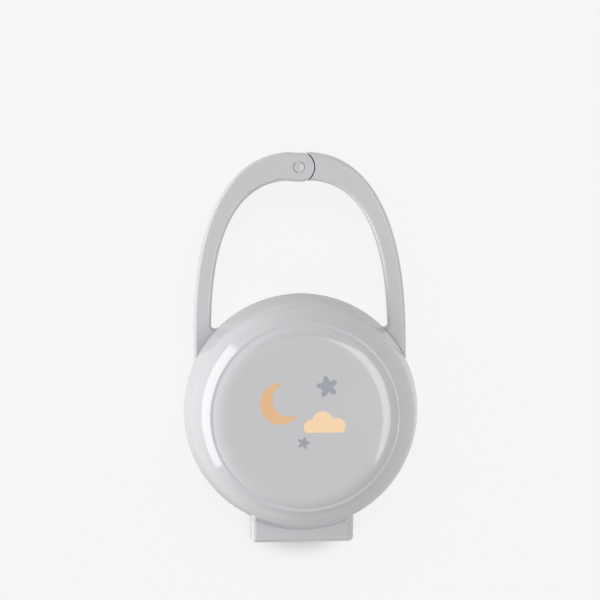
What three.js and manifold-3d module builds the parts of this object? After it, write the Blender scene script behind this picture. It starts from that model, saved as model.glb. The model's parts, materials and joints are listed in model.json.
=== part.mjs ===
// Pacifier case with a carrying handle, in millimetres with +Z up.
// The case lies on its back: the lid faces up and the handle points along +Y.
// The origin is the middle of the flat back face that the case rests on.
// Two round shells close on each other and turn on a hinge pin at the foot of the case.
// The handle is a loop of two arms: one is moulded with the back shell, the other is a gate
// that swings outward about a pin at the top of the loop.
import * as THREE from "three";
import { mergeVertices } from "three/addons/utils/BufferGeometryUtils.js";
import Module from "manifold-3d";

const wasm = await Module();
wasm.setup();

// Case body, the same outside on the lid and on the base
const caseRadius = 36;
const halfDepth = 23;
const wall = 2;
const wallLean = THREE.MathUtils.degToRad(8.5);

// Front relief of each half: shoulder, ring, groove and the plateau's curved edge
const shoulderWidth = 7.8;
const shoulderRadius = 11.2;
const ringDrop = 1.15;
const ringBead = 0.45;
const ringRise = 0.2;
const grooveDepth = 0.2;
const coveRadius = 2.6;
const crownRadius = 8;
const coveTilt = THREE.MathUtils.degToRad(16);
const edgeTilt = THREE.MathUtils.degToRad(37);
const crownTilt = THREE.MathUtils.degToRad(13);
const rimRound = 0.3;
const ringRadius = caseRadius - shoulderWidth;
const ringHeight = halfDepth - ringDrop;
const grooveFloor = ringHeight - grooveDepth;

// Closing rim: the base's inner collar enters the lid
const rimGap = 0.3;
const collarHeight = 2.2;
const collarWall = 1.2;
const collarFit = 0.3;
const landDepth = 3.6;
const landChamfer = 1.6;

// Thumb lip on the lid's rim, opposite the hinge
const lipHeight = 2.4;
const lipReach = 0.3;
const lipRound = 0.6;
const lipDiscShare = 0.72;
const lipDiscRadius = caseRadius * lipDiscShare;

// Handle loop: two superellipses about the case's centre line, wider apart at the top
const handleBase = 20;
const handleRise = 59.5;
const handleInset = 3.3;
const armFootWidth = 5.3;
const armTopWidth = 8.7;
const outerPower = 2.45;
const innerPower = 2.6;
const armThickness = 6.5;
const armRound = 1.3;
const armDrop = 0.25;
const footFillet = 1.2;
const footDepth = 9;
const outerHalf = caseRadius - handleInset;
const innerHalf = outerHalf - armFootWidth;
const innerRise = handleRise - armTopWidth;

// Rule joint at the top of the handle
const pivotDrop = 4.75;
const knuckleRadius = 4.75;
const seatGap = 0.3;
const seatTip = 2.5;
const waistDepth = 0.3;
const waistHalf = 3.6;
const bellyDepth = 0.5;
const bellyHalf = 5;
const tongueRadius = 4;
const tongueThickness = 2.1;
const sideFit = 0.3;
const pivotRadius = 1.7;
const pivotFit = 0.3;
const pivotChamfer = 0.25;
const pivotRecess = 0.05;

// Catch at the gate's foot
const footFit = 0.3;
const catchReach = 1.7;
const catchWidth = 2.4;
const catchFit = 0.3;
const catchPadWidth = 6;
const catchPadDepth = 1.5;
const catchPadSink = 0.5;

// Lid hinge at the foot of the case
const hingeBeyond = 1.9;
const hingeHalfWidth = 15.9;
const hingeHalfHeight = 2.6;
const hingeEdgeRound = 1.6;
const hingeCornerRound = 1.8;
const earThickness = 1.95;
const hingeSideFit = 0.3;
const hingeFit = 0.3;
const hingePinRadius = 1;
const hingePinFit = 0.2;
const hingePinRecess = 0.6;
const hingePinChamfer = 0.2;
const hingeOffset = caseRadius + hingeBeyond;

// Facets and modelling helpers; the arch has its points closer together towards its top
const mergeDistance = 0.0001;
const overrun = 2;
const shellFacets = 64;
const pinFacets = 20;
const knuckleFacets = 28;
const archFacets = 20;
const archCrowdingShare = 1.6;
const roundFacets = 3;
const reliefFacets = 2;
const shoulderFacets = 5;
const cavityFacets = 4;

// Heights and places that follow from the sizes
const partingHeight = halfDepth;
const wallLow = rimGap / 2 + rimRound;
const armTop = partingHeight - armDrop;
const armBottom = armTop - armThickness;
const armMiddle = (armTop + armBottom) / 2;
const handleTop = handleBase + handleRise;
const pivotY = handleTop - pivotDrop;
const seatRadius = knuckleRadius + seatGap;
const hingeY = -hingeOffset;
const earInner = hingeHalfWidth - earThickness;
const hingeFront = partingHeight + hingeHalfHeight;
const hingeBack = partingHeight - hingeHalfHeight;

const lidMaterial = new THREE.MeshStandardMaterial({ color: "#c7c7c9", roughness: 0.28, metalness: 0 });
const baseMaterial = new THREE.MeshStandardMaterial({ color: "#c6c6c8", roughness: 0.28, metalness: 0 });
const gateMaterial = new THREE.MeshStandardMaterial({ color: "#c6c6c8", roughness: 0.28, metalness: 0 });
const pivotMaterial = new THREE.MeshStandardMaterial({ color: "#cdcdcf", roughness: 0.32, metalness: 0 });
const hingePinMaterial = new THREE.MeshStandardMaterial({ color: "#b9babd", roughness: 0.3, metalness: 1 });

// Turns a closed three.js geometry into a solid that can be cut and joined
function solidOf(geometry) {
  const bare = geometry.clone();
  bare.deleteAttribute("normal");
  bare.deleteAttribute("uv");
  const merged = mergeVertices(bare, mergeDistance);
  const corners = merged.index.array;
  const kept = [];
  for (let i = 0; i < corners.length; i += 3) {
    const [a, b, c] = corners.slice(i, i + 3);
    if (a !== b && b !== c && c !== a) {
      kept.push(a, b, c);
    }
  }
  const vertProperties = merged.attributes.position.array;
  const triVerts = new Uint32Array(kept);
  return new wasm.Manifold(new wasm.Mesh({ numProp: 3, vertProperties, triVerts }));
}

// Turns a finished solid back into a named mesh
function meshOf(name, solid, material) {
  const { vertProperties, triVerts } = solid.getMesh();
  const geometry = new THREE.BufferGeometry();
  geometry.setAttribute("position", new THREE.BufferAttribute(vertProperties, 3));
  geometry.setIndex(new THREE.BufferAttribute(triVerts, 1));
  geometry.computeVertexNormals();
  const mesh = new THREE.Mesh(geometry, material);
  mesh.name = name;
  return mesh;
}

// Revolves a profile of (radius, height) points about the Z axis
function revolve(profile, facets) {
  const points = profile.map(([radius, height]) => new THREE.Vector2(radius, height));
  const geometry = new THREE.LatheGeometry(points, facets);
  geometry.rotateX(Math.PI / 2);
  return solidOf(geometry);
}

// Extrudes a shape from one height up to another, with its edges rounded if asked
function extrudeUp(shape, low, high, round = 0) {
  const geometry = new THREE.ExtrudeGeometry(shape, {
    depth: high - low - 2 * round,
    bevelEnabled: round > 0,
    bevelThickness: round,
    bevelSize: round,
    bevelOffset: -round,
    bevelSegments: roundFacets,
    curveSegments: knuckleFacets,
  });
  geometry.translate(0, 0, low + round);
  return solidOf(geometry);
}

// Extrudes a (Y, Z) section along X, from one side to the other
function extrudeAcross(section, left, right) {
  const geometry = new THREE.ExtrudeGeometry(section, {
    depth: right - left,
    bevelEnabled: false,
    curveSegments: roundFacets,
  });
  geometry.rotateX(Math.PI / 2);
  geometry.rotateZ(Math.PI / 2);
  geometry.translate(left, 0, 0);
  return solidOf(geometry);
}

// A block between two corners
function block(low, high) {
  const size = high.map((value, axis) => value - low[axis]);
  const geometry = new THREE.BoxGeometry(...size);
  geometry.translate(...low.map((value, axis) => value + size[axis] / 2));
  return solidOf(geometry);
}

// An upright round bar about a point, from one height to another
function uprightBar(radius, x, y, low, high, facets) {
  const profile = [[0, low], [radius, low], [radius, high], [0, high]];
  return revolve(profile, facets).translate([x, y, 0]);
}

// Points along an arc, both ends included
function arcPoints(centreU, centreV, radius, startAngle, endAngle, steps) {
  const points = [];
  for (let i = 0; i <= steps; i += 1) {
    const angle = startAngle + (endAngle - startAngle) * (i / steps);
    points.push([centreU + radius * Math.cos(angle), centreV + radius * Math.sin(angle)]);
  }
  return points;
}

// The wall leans inward: its radius at a distance from the parting plane
function wallRadius(distance) {
  return caseRadius - (distance - wallLow) * Math.tan(wallLean);
}

// The shoulder is one arc, tangent to the leaning wall, that ends at the ring's foot
function shoulderArc() {
  const across = caseRadius - ringRadius - ringBead;
  const along = ringHeight - wallLow;
  const inward = across * Math.cos(wallLean) - along * Math.sin(wallLean);
  const upward = across * Math.sin(wallLean) + along * Math.cos(wallLean);
  const wallLength = upward - Math.sqrt(2 * shoulderRadius * inward - inward * inward);
  const wallHigh = wallLow + wallLength * Math.cos(wallLean);
  const centre = wallRadius(wallHigh) - shoulderRadius * Math.cos(wallLean);
  const level = wallHigh - shoulderRadius * Math.sin(wallLean);
  return { centre, level, endAngle: Math.asin((ringHeight - level) / shoulderRadius) };
}

// The plateau's edge is an S of three arcs that run into each other: cove, edge and crown
function plateauEdge() {
  const crownDrop = crownRadius * (1 - Math.cos(crownTilt));
  const coveRise = coveRadius * (Math.cos(coveTilt) - Math.cos(edgeTilt));
  const edgeDrop = halfDepth - grooveFloor - crownDrop - coveRise;
  const edgeRadius = edgeDrop / (Math.cos(crownTilt) - Math.cos(edgeTilt));
  const coveU = ringRadius - ringBead + coveRadius * Math.sin(coveTilt);
  const coveV = grooveFloor + coveRadius * Math.cos(coveTilt);
  const edgeU = coveU - (edgeRadius + coveRadius) * Math.sin(edgeTilt);
  const edgeV = coveV - (edgeRadius + coveRadius) * Math.cos(edgeTilt);
  const crownU = edgeU - (crownRadius - edgeRadius) * Math.sin(crownTilt);
  const crownV = halfDepth - crownRadius;
  const up = Math.PI / 2;
  const cove = arcPoints(coveU, coveV, coveRadius, -up - coveTilt, -up - edgeTilt, reliefFacets);
  const edge = arcPoints(edgeU, edgeV, edgeRadius, up - edgeTilt, up - crownTilt, reliefFacets);
  const crown = arcPoints(crownU, crownV, crownRadius, up - crownTilt, up, reliefFacets);
  return [...cove, ...edge.slice(1), ...crown.slice(1)];
}

// Outer profile of one half, as (radius, distance from the parting plane), from rim to axis
function outerProfile() {
  const { centre, level, endAngle } = shoulderArc();
  const points = [[caseRadius - rimRound, rimGap / 2], [caseRadius, wallLow]];
  points.push(...arcPoints(centre, level, shoulderRadius, wallLean, endAngle, shoulderFacets));
  for (let i = 1; i <= roundFacets; i += 1) {
    const angle = Math.PI * (i / roundFacets);
    points.push([ringRadius + ringBead * Math.cos(angle), ringHeight + ringRise * Math.sin(angle)]);
  }
  points.push(...plateauEdge(), [0, halfDepth]);
  return points;
}

// Cavity profile of one half, from the wall's inner face at the given distance to the axis
function cavityProfile() {
  const { centre, level } = shoulderArc();
  const [plateauFlatRadius] = plateauEdge().at(-1);
  const roof = grooveFloor - wall;
  const innerRadius = shoulderRadius - wall;
  const roofAngle = Math.asin((roof - level) / innerRadius);
  const points = arcPoints(centre, level, innerRadius, wallLean, roofAngle, cavityFacets);
  points.push([plateauFlatRadius, roof]);
  points.push([plateauFlatRadius - rimRound, halfDepth - wall]);
  points.push([0, halfDepth - wall]);
  return points;
}

// Outline of the handle loop, feet included, in the plane of the case
function loopOutline() {
  const lower = (depth, half) => ([x, y]) => [x, y - dip(x, depth, half)];
  const outer = superellipse(outerHalf, handleRise, outerPower).map(lower(waistDepth, waistHalf));
  const inner = superellipse(innerHalf, innerRise, innerPower).map(lower(bellyDepth, bellyHalf));
  const filletX = innerHalf - footFillet;
  const filletReach = caseRadius + footFillet;
  const filletY = Math.sqrt(filletReach * filletReach - filletX * filletX);
  const meet = Math.atan2(filletY, filletX);
  const fillet = arcPoints(filletX, filletY, footFillet, 0, meet - Math.PI, roundFacets);
  const innerSide = inner.filter(([, y]) => y > filletY).concat(fillet);
  innerSide.push([(caseRadius - footDepth) * Math.cos(meet), (caseRadius - footDepth) * Math.sin(meet)]);
  innerSide.push([innerHalf, handleBase - footDepth]);
  const rightSide = [[outerHalf, handleBase - footDepth], ...outer.slice().reverse()];
  const mirrored = (points) => points.map(([x, y]) => [-x, y]);
  const across = rightSide.concat(mirrored(rightSide).reverse().slice(1));
  const back = mirrored(innerSide.slice().reverse()).concat(innerSide.slice(1));
  return new THREE.Shape(across.concat(back).map(([x, y]) => new THREE.Vector2(x, y)));
}

// Both edges of the handle dip a little at the knuckle and fade back to the arch on either side
function dip(x, depth, half) {
  const share = Math.min(Math.abs(x) / half, 1);
  return depth * (1 - share * share) ** 2;
}

// Right half of a superellipse arch, from its top down to the handle's base line
function superellipse(half, rise, power) {
  const points = [];
  for (let i = 0; i <= archFacets; i += 1) {
    const angle = (Math.PI / 2) * (1 - (i / archFacets) ** archCrowdingShare);
    const x = half * Math.pow(Math.max(Math.cos(angle), 0), 2 / power);
    const y = handleBase + rise * Math.pow(Math.max(Math.sin(angle), 0), 2 / power);
    points.push([x, y]);
  }
  points[0][0] = 0;
  return points;
}

function handleLoop() {
  return extrudeUp(loopOutline(), armBottom, armTop, armRound);
}

// The block at the foot: a plan with round corners and rounded edges, which both the ears and
// the knuckle are cut from, so that the hinge reads as one smooth block
function hingeBlock() {
  const left = -hingeHalfWidth;
  const right = hingeHalfWidth;
  const bottom = hingeY - hingeHalfHeight;
  const top = hingeY + hingeOffset / 2;
  const corner = hingeCornerRound;
  const plan = new THREE.Shape();
  plan.moveTo(left, top);
  plan.lineTo(left, bottom + corner);
  plan.absarc(left + corner, bottom + corner, corner, Math.PI, Math.PI * 1.5, false);
  plan.lineTo(right - corner, bottom);
  plan.absarc(right - corner, bottom + corner, corner, -Math.PI / 2, 0, false);
  plan.lineTo(right, top);
  return extrudeUp(plan, hingeBack, hingeFront, hingeEdgeRound);
}

// Everything between two places across the case, as tall as the handle's arms
function slab(left, right) {
  return block([left, 0, 0], [right, handleTop + overrun, partingHeight]);
}

// The fork at the end of the fixed arm is the part of the loop inside one upright cylinder
function forkKnuckle(loop) {
  return loop.intersect(uprightBar(knuckleRadius, 0, pivotY, 0, partingHeight, knuckleFacets));
}

function fixedArm(loop) {
  const slotHalf = tongueThickness / 2 + sideFit;
  const slotLow = armMiddle - slotHalf;
  const slotHigh = armMiddle + slotHalf;
  const slot = uprightBar(seatRadius, 0, pivotY, slotLow, slotHigh, knuckleFacets);
  const arm = loop.intersect(slab(-outerHalf - overrun, 0));
  return arm.add(forkKnuckle(loop)).subtract(slot).subtract(pivotBore());
}

function pivotBore() {
  return uprightBar(pivotRadius + pivotFit, 0, pivotY, 0, partingHeight, pinFacets);
}

// The place and heading of the gate's catch: it leaves its pocket along the path of the swing
function onCatch(solid) {
  const footX = (outerHalf + innerHalf) / 2;
  const footReach = caseRadius + footFit;
  const footY = Math.sqrt(footReach * footReach - footX * footX);
  const heading = Math.atan2(footX, pivotY - footY);
  return solid.rotate([0, 0, THREE.MathUtils.radToDeg(heading)]).translate([footX, footY, 0]);
}

function catchTongue() {
  const half = catchWidth / 2;
  const low = [-catchReach, -half, armMiddle - tongueThickness / 2];
  const high = [catchReach, half, armMiddle + tongueThickness / 2];
  return onCatch(block(low, high));
}

function catchPocket() {
  const half = catchWidth / 2 + catchFit;
  const halfHeight = tongueThickness / 2 + catchFit;
  const low = [-catchReach - catchFit, -half, armMiddle - halfHeight];
  const high = [overrun, half, armMiddle + halfHeight];
  return onCatch(block(low, high));
}

// A pad inside the base's wall, which keeps the pocket closed towards the cavity
function catchPad() {
  const half = catchPadWidth / 2;
  const low = [-footFit - wall - catchPadDepth, -half, armBottom];
  const high = [-footFit - wall + catchPadSink, half, armTop];
  return onCatch(block(low, high));
}

// The ears stand either side of the lid's knuckle, clear of the lid's wall as it turns
function hingeEars() {
  const lidWallY = Math.sqrt(caseRadius * caseRadius - earInner * earInner);
  const reach = hingeOffset - lidWallY - hingeFit;
  const webTop = partingHeight - rimGap / 2;
  const webAngle = Math.asin((webTop - partingHeight) / reach);
  const topAngle = Math.asin(hingeHalfHeight / reach);
  const outerY = hingeY - hingeHalfHeight;
  const innerY = hingeY + hingeOffset / 2;
  const arc = arcPoints(hingeY, partingHeight, reach, webAngle, topAngle, roundFacets);
  const outline = [[outerY, hingeBack], [innerY, hingeBack], [innerY, webTop], ...arc, [outerY, hingeFront]];
  const section = new THREE.Shape(outline.map(([y, z]) => new THREE.Vector2(y, z)));
  const rounded = hingeBlock();
  const left = extrudeAcross(section, -hingeHalfWidth, -earInner).intersect(rounded);
  const right = extrudeAcross(section, earInner, hingeHalfWidth).intersect(rounded);
  return left.add(right);
}

// The lid's knuckle is flat in front, and round behind so that it can turn in the base
function lidKnuckle() {
  const outerY = hingeY - hingeHalfHeight;
  const innerY = hingeY + hingeOffset / 2;
  const rim = partingHeight + rimGap / 2;
  const half = earInner - hingeSideFit;
  const outline = [[innerY, rim], [innerY, hingeFront], [outerY, hingeFront]];
  const barrel = arcPoints(hingeY, partingHeight, hingeHalfHeight, Math.PI, Math.PI * 2, knuckleFacets / 2);
  const section = new THREE.Shape(outline.concat(barrel).map(([y, z]) => new THREE.Vector2(y, z)));
  return extrudeAcross(section, -half, half).intersect(hingeBlock());
}

// Room in the base for the knuckle's corner as the lid turns over
function knuckleSweep() {
  const cornerCentre = hingeHalfHeight - hingeEdgeRound;
  const corner = Math.hypot(cornerCentre, cornerCentre) + hingeEdgeRound;
  return crossBar(corner + hingeFit, earInner);
}

// A round bar along the hinge's axis, to the same length on both sides
function crossBar(radius, half) {
  const profile = [[0, -half], [radius, -half], [radius, half], [0, half]];
  return revolve(profile, pinFacets).rotate([0, 90, 0]).translate([0, hingeY, partingHeight]);
}

function hingeBore() {
  return crossBar(hingePinRadius + hingePinFit, hingeHalfWidth + overrun);
}

function thumbLip() {
  const low = partingHeight + rimGap / 2;
  const high = low + lipHeight;
  const centre = caseRadius + lipReach - lipDiscRadius;
  const profile = [
    [0, low],
    [lipDiscRadius - lipRound, low],
    [lipDiscRadius, low + lipRound],
    [lipDiscRadius, high - lipRound],
    [lipDiscRadius - lipRound, high],
    [0, high],
  ];
  return revolve(profile, shellFacets).translate([0, centre, 0]);
}

function baseShell(loop) {
  const collarOuter = caseRadius - wall - collarFit;
  const collarInner = collarOuter - collarWall;
  const collarTop = partingHeight + collarHeight;
  const below = ([radius, distance]) => [radius, partingHeight - distance];
  const outside = outerProfile().map(below).reverse();
  outside.push([collarOuter, partingHeight - rimGap / 2]);
  outside.push([collarOuter, collarTop - rimRound]);
  outside.push([collarOuter - rimRound, collarTop]);
  outside.push([0, collarTop]);
  const inside = cavityProfile().map(below).reverse();
  const landEnd = landDepth + landChamfer;
  inside.push([wallRadius(landEnd) - wall, partingHeight - landEnd]);
  inside.push([collarInner, partingHeight - landDepth]);
  inside.push([collarInner, collarTop + overrun]);
  inside.push([0, collarTop + overrun]);
  const body = revolve(outside, shellFacets).add(fixedArm(loop)).add(hingeEars());
  const hollow = body.subtract(revolve(inside, shellFacets)).add(catchPad());
  return hollow.subtract(catchPocket()).subtract(knuckleSweep()).subtract(hingeBore());
}

function lidShell() {
  const above = ([radius, distance]) => [radius, partingHeight + distance];
  const outside = [[0, partingHeight + rimGap / 2], ...outerProfile().map(above)];
  const wallInside = caseRadius - wall;
  const inside = [
    [0, partingHeight - overrun],
    [wallInside, partingHeight - overrun],
    [wallInside, partingHeight + collarHeight + rimGap],
    ...cavityProfile().map(above),
  ];
  const body = revolve(outside, shellFacets).add(thumbLip()).add(lidKnuckle());
  return body.subtract(revolve(inside, shellFacets)).subtract(hingeBore());
}

function gateArm(loop) {
  const seat = uprightBar(seatRadius, 0, pivotY, 0, partingHeight, knuckleFacets);
  const low = armMiddle - tongueThickness / 2;
  const high = armMiddle + tongueThickness / 2;
  const eye = uprightBar(tongueRadius, 0, pivotY, low, high, knuckleFacets);
  const neckEnd = seatRadius + overrun;
  const neck = block([0, pivotY - tongueRadius, low], [neckEnd, pivotY + tongueRadius, high]);
  const tongue = eye.add(neck).intersect(loop);
  const lowRadius = wallRadius(partingHeight) + footFit;
  const roomProfile = [[0, 0], [lowRadius, 0], [wallRadius(0) + footFit, partingHeight], [0, partingHeight]];
  const caseRoom = revolve(roomProfile, shellFacets);
  const arm = loop.intersect(slab(seatTip, outerHalf + overrun)).subtract(seat).subtract(caseRoom);
  return arm.add(tongue).subtract(pivotBore()).add(catchTongue());
}

// A pin with chamfered ends, from one end to the other along Z
function pinBar(radius, low, high, chamfer) {
  const profile = [
    [0, low],
    [radius - chamfer, low],
    [radius, low + chamfer],
    [radius, high - chamfer],
    [radius - chamfer, high],
    [0, high],
  ];
  return revolve(profile, pinFacets);
}

function pivotPin() {
  const bar = pinBar(pivotRadius, armBottom + pivotRecess, armTop - pivotRecess, pivotChamfer);
  return bar.translate([0, pivotY, 0]);
}

function hingePin() {
  const half = hingeHalfWidth - hingePinRecess;
  const bar = pinBar(hingePinRadius, -half, half, hingePinChamfer);
  return bar.rotate([0, 90, 0]).translate([0, hingeY, partingHeight]);
}

const loop = handleLoop();
const pacifierCase = new THREE.Group();
pacifierCase.add(meshOf("base_shell", baseShell(loop), baseMaterial));
pacifierCase.add(meshOf("lid_shell", lidShell(), lidMaterial));
pacifierCase.add(meshOf("gate_arm", gateArm(loop), gateMaterial));
pacifierCase.add(meshOf("pivot_pin", pivotPin(), pivotMaterial));
pacifierCase.add(meshOf("hinge_pin", hingePin(), hingePinMaterial));

export default pacifierCase;
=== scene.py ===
# %% [markdown]
# A round pacifier case in light grey plastic, lying on its back and photographed from above.
# It is a small moulded product: two shells on a hinge, and a tall loop whose right arm is a gate.
# This lesson takes the working model as a fixed frame and builds the fine surfaces around it:
# turned shells, a rounded loop, pins, a small printed picture, then the plastics and the light.

# %% Tools, and the frame that every piece is built around
import json
import math

import bmesh
import bpy
from mathutils import Matrix, Vector


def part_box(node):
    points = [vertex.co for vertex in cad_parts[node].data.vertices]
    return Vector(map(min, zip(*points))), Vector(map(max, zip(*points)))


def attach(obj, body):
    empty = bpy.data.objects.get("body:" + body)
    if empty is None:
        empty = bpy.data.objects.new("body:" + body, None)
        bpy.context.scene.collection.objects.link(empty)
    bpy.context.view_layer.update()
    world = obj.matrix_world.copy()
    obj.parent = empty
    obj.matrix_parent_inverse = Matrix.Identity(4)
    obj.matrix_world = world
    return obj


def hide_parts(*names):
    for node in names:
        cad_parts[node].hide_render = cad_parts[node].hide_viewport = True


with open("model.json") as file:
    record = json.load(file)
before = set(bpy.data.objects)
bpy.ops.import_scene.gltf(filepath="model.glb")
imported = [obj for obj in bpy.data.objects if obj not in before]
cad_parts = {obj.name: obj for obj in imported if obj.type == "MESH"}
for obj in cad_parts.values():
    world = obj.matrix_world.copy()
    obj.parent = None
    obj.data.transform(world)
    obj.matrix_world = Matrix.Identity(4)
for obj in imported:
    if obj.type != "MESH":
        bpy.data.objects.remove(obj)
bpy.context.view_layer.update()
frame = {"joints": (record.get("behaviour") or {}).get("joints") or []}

# %% [markdown]
# Sizes. The pieces are modelled in millimetres, because a designer thinks in them, and each mesh
# is brought to metres at the end. What the frame knows is read from it: the case's radius and
# depth, the heights of the loop and the two turning axes. The rest are the moulding's own sizes.

# %% Sizes in millimetres
MM = 0.001


def span(node):
    """The lowest and highest corner of a node, in millimetres."""
    low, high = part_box(node)
    return low / MM, high / MM


def axis_of(joint_name):
    """A point on a joint's axis, in millimetres."""
    joint = next(joint for joint in frame["joints"] if joint["name"] == joint_name)
    return Vector(joint["pos_m"]) / MM


lid_high = span("lid_shell")[1]
gate_low, gate_high = span("gate_arm")
case_radius = lid_high.x
half_depth = lid_high.z / 2
parting = half_depth
arm_bottom, arm_top = gate_low.z, gate_high.z
arm_middle = (arm_bottom + arm_top) / 2
outer_half = gate_high.x
hinge_y = axis_of("lid_hinge").y
pivot_y = axis_of("gate_swing").y

wall = 2
wall_lean = 8.5
rim_gap = 0.3
rim_round = 0.3
ring_radius = case_radius - 7.9
wide_shoulder = 17.8
shoulder_break = 47
shoulder_end = 35.5
ring_drop = 1.15
ring_corner = 0.1
ring_tilt = 46
bead_radius = 1.0
bead_tilt = 15
land_width = 0.65
land_tilt = -1
edge_tilt = 35
bend_tilt = 18
bend_radius = 6
crown_tilt = 7
crown_radius = 14.7
cavity_flat = 25
cavity_step = 1
collar_height = 2.2
collar_wall = 1.2
collar_fit = 0.3
land_depth = 3.6
land_chamfer = 1.6
overrun = 2
print("case radius", round(case_radius, 2), "half depth", round(half_depth, 2))

# %% [markdown]
# How fine the shapes are cut. A turned shell has a facet every two degrees or so, which leaves
# its outline round to a few thousandths of a millimetre, and rounded edges get eight strips. The
# loop's points crowd towards its top, where the joint is.

# %% Facets
TURN_STEPS = 192
BAR_STEPS = 96
ARCH_STEPS = 96
ARCH_CROWDING = 1.6
ROUND_STEPS = 8
SMALL_ROUND_STEPS = 4
SHOULDER_STEPS = 28
WALL_STEPS = 10
SAME_PLACE = 0.0002
SHARP_ANGLE = math.radians(27)


def arc(centre_u, centre_v, radius, start, end, steps):
    """Points along an arc, from one angle in degrees to another, both ends included."""
    points = []
    for i in range(steps + 1):
        angle = math.radians(start + (end - start) * i / steps)
        points.append((centre_u + radius * math.cos(angle), centre_v + radius * math.sin(angle)))
    return points


# %% [markdown]
# Solids. Each helper starts from a few vertices or a create operator, shapes them with spin,
# extrude and bevel, and returns an object in millimetres that can be joined with others or cut by
# them. Separate helpers for turned, flat and block shapes keep each piece's own cell short.

# %% Helpers that make simple solids
def solid(bm):
    """An object in millimetres from a closed bmesh, with its normals facing out."""
    bmesh.ops.remove_doubles(bm, verts=bm.verts, dist=SAME_PLACE)
    bmesh.ops.recalc_face_normals(bm, faces=bm.faces)
    mesh = bpy.data.meshes.new("solid")
    bm.to_mesh(mesh)
    bm.free()
    made = bpy.data.objects.new("solid", mesh)
    bpy.context.scene.collection.objects.link(made)
    return made


def turned(profile, steps=TURN_STEPS, centre=(0, 0), shape=None):
    """Spins a profile of (radius, height) points into a solid about an upright axis."""
    bm = bmesh.new()
    points = [bm.verts.new((radius, 0, height)) for radius, height in profile]
    edges = [bm.edges.new(pair) for pair in zip(points, points[1:])]
    bmesh.ops.spin(
        bm, geom=points + edges, cent=(0, 0, 0), axis=(0, 0, 1), dvec=(0, 0, 0),
        angle=math.tau, steps=steps, use_merge=True, use_duplicate=False,
    )
    bmesh.ops.translate(bm, verts=bm.verts, vec=(*centre, 0))
    if shape:
        shape(bm)
    return solid(bm)


def plate(outline, low, high, edge_round=0):
    """Extrudes an outline of (x, y) points between two heights and rounds its long edges."""
    bm = bmesh.new()
    face = bm.faces.new([bm.verts.new((x, y, low)) for x, y in outline])
    lifted = bmesh.ops.extrude_face_region(bm, geom=[face])["geom"]
    upper = [item for item in lifted if isinstance(item, bmesh.types.BMVert)]
    bmesh.ops.translate(bm, verts=upper, vec=(0, 0, high - low))
    if edge_round:
        rims = [e for e in bm.edges if abs(e.verts[0].co.z - e.verts[1].co.z) < SAME_PLACE]
        bmesh.ops.bevel(
            bm, geom=rims, offset=edge_round, offset_type="OFFSET", segments=ROUND_STEPS,
            profile=0.5, affect="EDGES", material=-1, clamp_overlap=False,
        )
    return solid(bm)


def block(low, high):
    """A box between two corners."""
    bm = bmesh.new()
    bmesh.ops.create_cube(bm, size=1)
    size = Vector(high) - Vector(low)
    bmesh.ops.scale(bm, verts=bm.verts, vec=size)
    bmesh.ops.translate(bm, verts=bm.verts, vec=Vector(low) + size / 2)
    return solid(bm)


def upright_bar(radius, y, low, high):
    """A round bar that stands at x = 0."""
    return turned([(0, low), (radius, low), (radius, high), (0, high)], BAR_STEPS, (0, y))


def place(made, matrix):
    """Moves a solid's mesh, so that the object itself stays at the origin."""
    made.data.transform(matrix)
    return made


LAID_ALONG_X = Matrix.Rotation(math.radians(90), 4, "Y")
PLATE_ALONG_Y = Matrix(((1, 0, 0, 0), (0, 0, -1, 0), (0, 1, 0, 0), (0, 0, 0, 1)))
PLATE_ALONG_X = Matrix(((0, 0, 1, 0), (1, 0, 0, 0), (0, 1, 0, 0), (0, 0, 0, 1)))


def cross_bar(profile):
    """Spins a (radius, x) profile about the hinge's axis."""
    to_hinge = Matrix.Translation((0, hinge_y, parting))
    return place(turned(profile, BAR_STEPS), to_hinge @ LAID_ALONG_X)


def combine(body, operation, *tools):
    """Joins other solids to a body, or cuts it with them, and uses them up."""
    for tool in tools:
        step = body.modifiers.new("combine", "BOOLEAN")
        step.operation = operation
        step.solver = "MANIFOLD"
        step.object = tool
    graph = bpy.context.evaluated_depsgraph_get()
    mesh = bpy.data.meshes.new_from_object(body.evaluated_get(graph))
    body.modifiers.clear()
    body.data = mesh
    for tool in tools:
        bpy.data.objects.remove(tool)
    return body


# %% [markdown]
# Shell profile. Both halves have the same section: a wall that leans in, a shoulder, a thin
# raised ring, a narrow land and a raised plateau. The plateau's edge could be a plain fillet, but
# the photographed highlights drift there, so it rises from a sharp corner in three arcs, each
# flatter than the last. The ring is a small bead behind a tight corner, which draws a fine line.

# %% The section of one half
wall_slope = math.tan(math.radians(wall_lean))
wall_low = rim_gap / 2 + rim_round


def wall_radius(distance):
    """The leaning wall's radius at a distance from the parting plane."""
    return case_radius - wall_slope * (distance - wall_low)


def shoulder():
    """Two arcs from the wall to the ring: centre, radius, start and end angle of each."""
    lean, middle, end = wall_lean, 90 - shoulder_break, 90 - shoulder_end
    cos = {angle: math.cos(math.radians(angle)) for angle in (lean, middle, end)}
    sin = {angle: math.sin(math.radians(angle)) for angle in (lean, middle, end)}
    bead_foot = math.sin(math.radians(bead_tilt))
    ring_foot = ring_radius + bead_radius * bead_foot
    ring_foot += ring_corner * (math.sin(math.radians(ring_tilt)) - bead_foot)
    across = case_radius - ring_foot - wide_shoulder * (cos[middle] - cos[end])
    along = half_depth - ring_drop - wall_low - wide_shoulder * (sin[end] - sin[middle])
    room = cos[lean] - cos[middle] - wall_slope * (sin[middle] - sin[lean])
    tight = (across - wall_slope * along) / room
    wall_high = wall_low + along - tight * (sin[middle] - sin[lean])
    u, v = wall_radius(wall_high) - tight * cos[lean], wall_high - tight * sin[lean]
    wide_u = u + (tight - wide_shoulder) * cos[middle]
    wide_v = v + (tight - wide_shoulder) * sin[middle]
    return (u, v, tight, lean, middle), (wide_u, wide_v, wide_shoulder, middle, end)


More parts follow.
